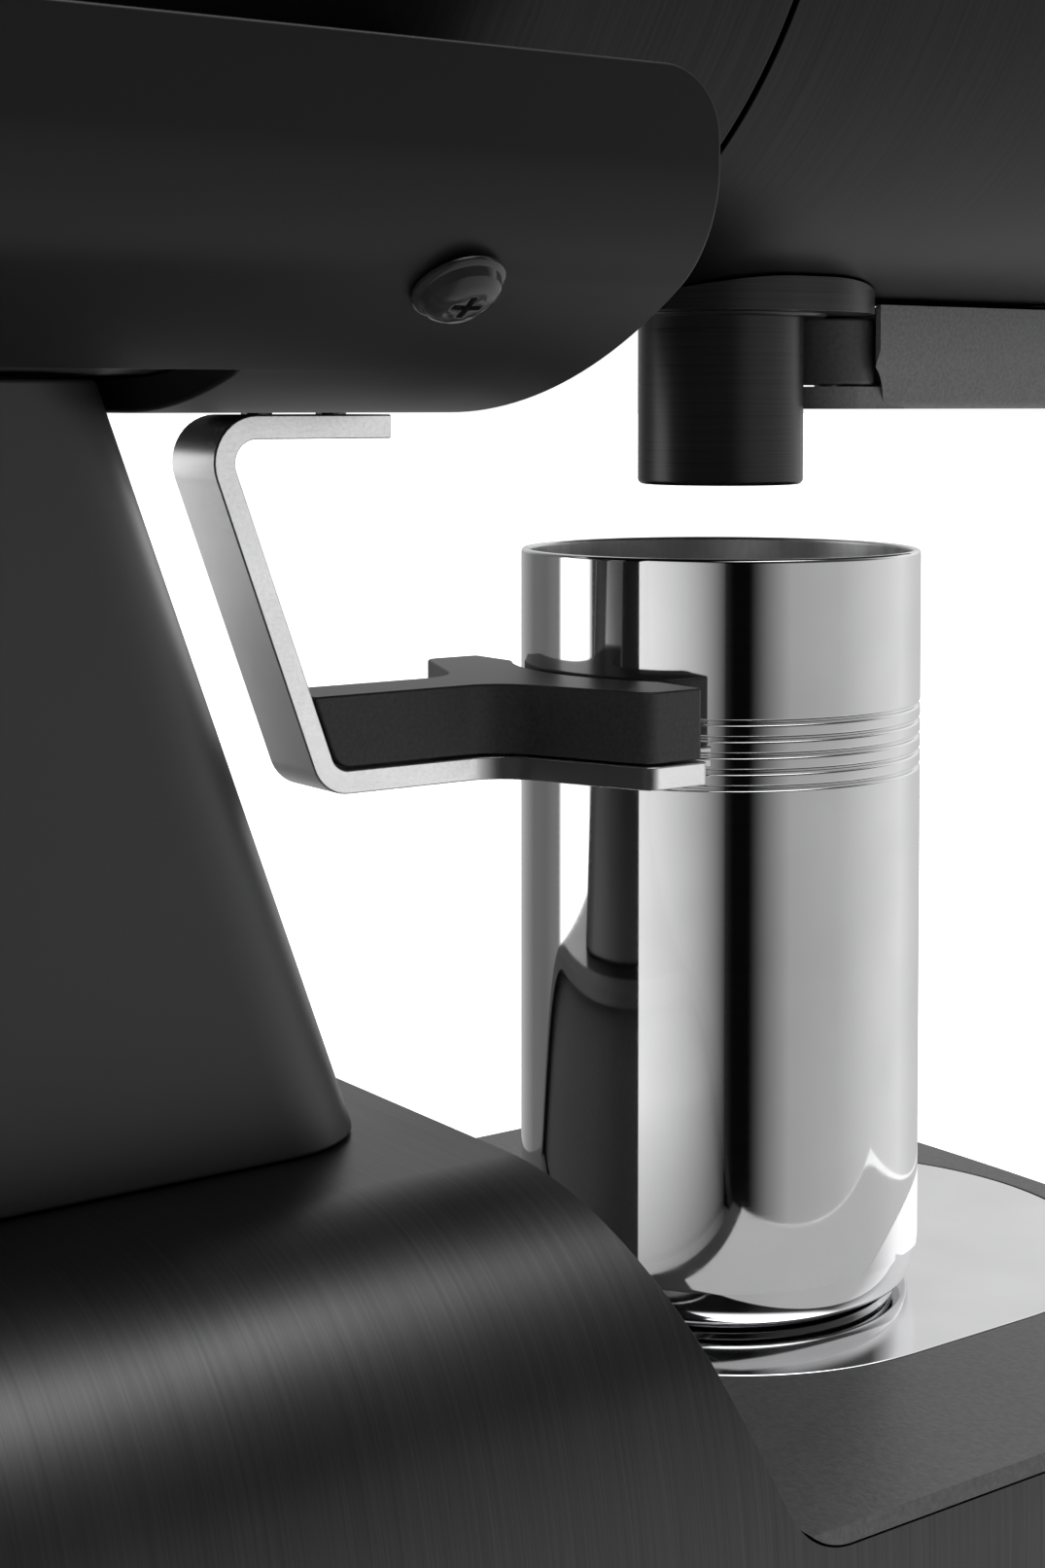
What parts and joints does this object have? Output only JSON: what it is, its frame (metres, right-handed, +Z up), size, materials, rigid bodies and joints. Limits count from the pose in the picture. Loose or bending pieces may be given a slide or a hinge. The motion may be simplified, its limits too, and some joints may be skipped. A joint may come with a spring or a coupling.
{
  "type": "burr coffee grinder",
  "caption": "Coffee grinder with a horizontal brushed drum in a bent-sheet cradle, a leaning column, a tray base, and a steel cup held by a fork under the spout.",
  "frame": {"origin": "centre of the grinder's footprint, on the floor under its feet", "axes": "+Z up, -Y towards the front where the cup and the start button are, +X to the side with the bean gate's grip"},
  "size_m": [0.145, 0.314, 0.4033],
  "materials": {
    "brushed_black": "black anodised, brushed with fine lines",
    "satin_black": "smooth satin black coating",
    "black_plastic": "fine-grained black",
    "grey_plastic": "fine-textured grey",
    "black_rubber": "matt",
    "blasted_aluminium": "bead-blasted satin",
    "cast_aluminium": "machined casting",
    "plain_steel": "machined",
    "polished_steel": "mirror-polished stainless steel",
    "copper_winding": "laminations and enamelled windings",
    "circuit_board": "lacquered board",
    "smoked_plastic": "clear smoked"
  },
  "bodies": {
    "stand": {"base_shell": "brushed_black", "base_plate": "plain_steel", "foot_front_left": "black_rubber", "foot_front_right": "black_rubber", "foot_rear_left": "black_rubber", "foot_rear_right": "black_rubber", "front_panel": "black_plastic", "rear_panel": "black_plastic", "power_inlet": "black_plastic", "drip_tray": "black_plastic", "tray_plate": "polished_steel", "control_board": "circuit_board", "power_supply": "cast_aluminium", "column": "satin_black", "tie_rod_front": "plain_steel", "tie_rod_rear": "plain_steel", "cradle": "satin_black", "cradle_screw_front_left": "satin_black", "cradle_screw_front_right": "satin_black", "cradle_screw_rear_left": "satin_black", "cradle_screw_rear_right": "satin_black", "saddle_block_front": "black_plastic", "saddle_block_rear": "black_plastic", "fork_bracket": "blasted_aluminium", "fork_pad": "black_rubber", "bracket_screw_front": "plain_steel", "bracket_screw_rear": "plain_steel", "spout": "satin_black", "chute_flange": "satin_black", "lever_post": "black_plastic", "lever_pin": "plain_steel", "motor_housing": "brushed_black", "rear_cap": "black_plastic", "grinding_head": "brushed_black", "front_bearing_plate": "cast_aluminium", "rear_bearing_plate": "cast_aluminium", "front_bearing": "plain_steel", "rear_bearing": "plain_steel", "motor_stator": "copper_winding", "burr_chamber": "cast_aluminium", "feed_throat": "black_plastic", "front_cap": "satin_black", "button_spring": "plain_steel", "hopper_collar": "satin_black", "hopper": "smoked_plastic"},
    "burr_spindle": {"motor_shaft": "plain_steel", "motor_rotor": "plain_steel", "burr_carrier": "plain_steel", "rotating_burr": "plain_steel", "feed_auger": "plain_steel"},
    "adjust_ring": {"adjust_ring": "brushed_black"},
    "burr_adjuster": {"burr_holder": "plain_steel", "fixed_burr": "plain_steel"},
    "release_lever": {"release_lever": "grey_plastic"},
    "start_button": {"start_button": "plain_steel"},
    "power_rocker": {"power_rocker": "black_plastic"},
    "bean_gate": {"bean_gate": "plain_steel"},
    "hopper_lid": {"hopper_lid": "black_plastic"},
    "cup": {"cup": "polished_steel"}
  },
  "joints": [
    {"name": "spindle_turn", "type": "hinge", "parent": "stand", "child": "burr_spindle", "pos_m": [0, 0, 0.233], "axis": [0, 1, 0], "continuous": true},
    {"name": "ring_turn", "type": "hinge", "parent": "stand", "child": "adjust_ring", "pos_m": [0, -0.134, 0.233], "axis": [0, -1, 0], "range_deg": [0, 270]},
    {"name": "burr_gap_slide", "type": "slide", "parent": "stand", "child": "burr_adjuster", "axis": [0, -1, 0], "range_m": [0, 0.0015]},
    {"name": "lever_turn", "type": "hinge", "parent": "stand", "child": "release_lever", "pos_m": [0, -0.086, 0.153], "axis": [0, 0, 1], "range_deg": [0, 12]},
    {"name": "button_press", "type": "slide", "parent": "stand", "child": "start_button", "axis": [0, 1, 0], "range_m": [0, 0.0015], "stiffness_N_per_m": 600, "springref_m": -0.001},
    {"name": "rocker_turn", "type": "hinge", "parent": "stand", "child": "power_rocker", "pos_m": [-0.026, 0.122, 0.031], "axis": [1, 0, 0], "range_deg": [0, 12]},
    {"name": "gate_slide", "type": "slide", "parent": "stand", "child": "bean_gate", "axis": [1, 0, 0], "range_m": [0, 0.0295]},
    {"name": "lid_lift", "type": "slide", "parent": "stand", "child": "hopper_lid", "axis": [0, 0, 1], "range_m": [0, 0.06]},
    {"name": "cup_pull", "type": "slide", "parent": "stand", "child": "cup", "axis": [0, -1, 0], "range_m": [0, 0.1]}
  ],
  "couplings": [
    {"joint": "burr_gap_slide", "follows": "ring_turn", "m_per_rad": 0.000318}
  ]
}
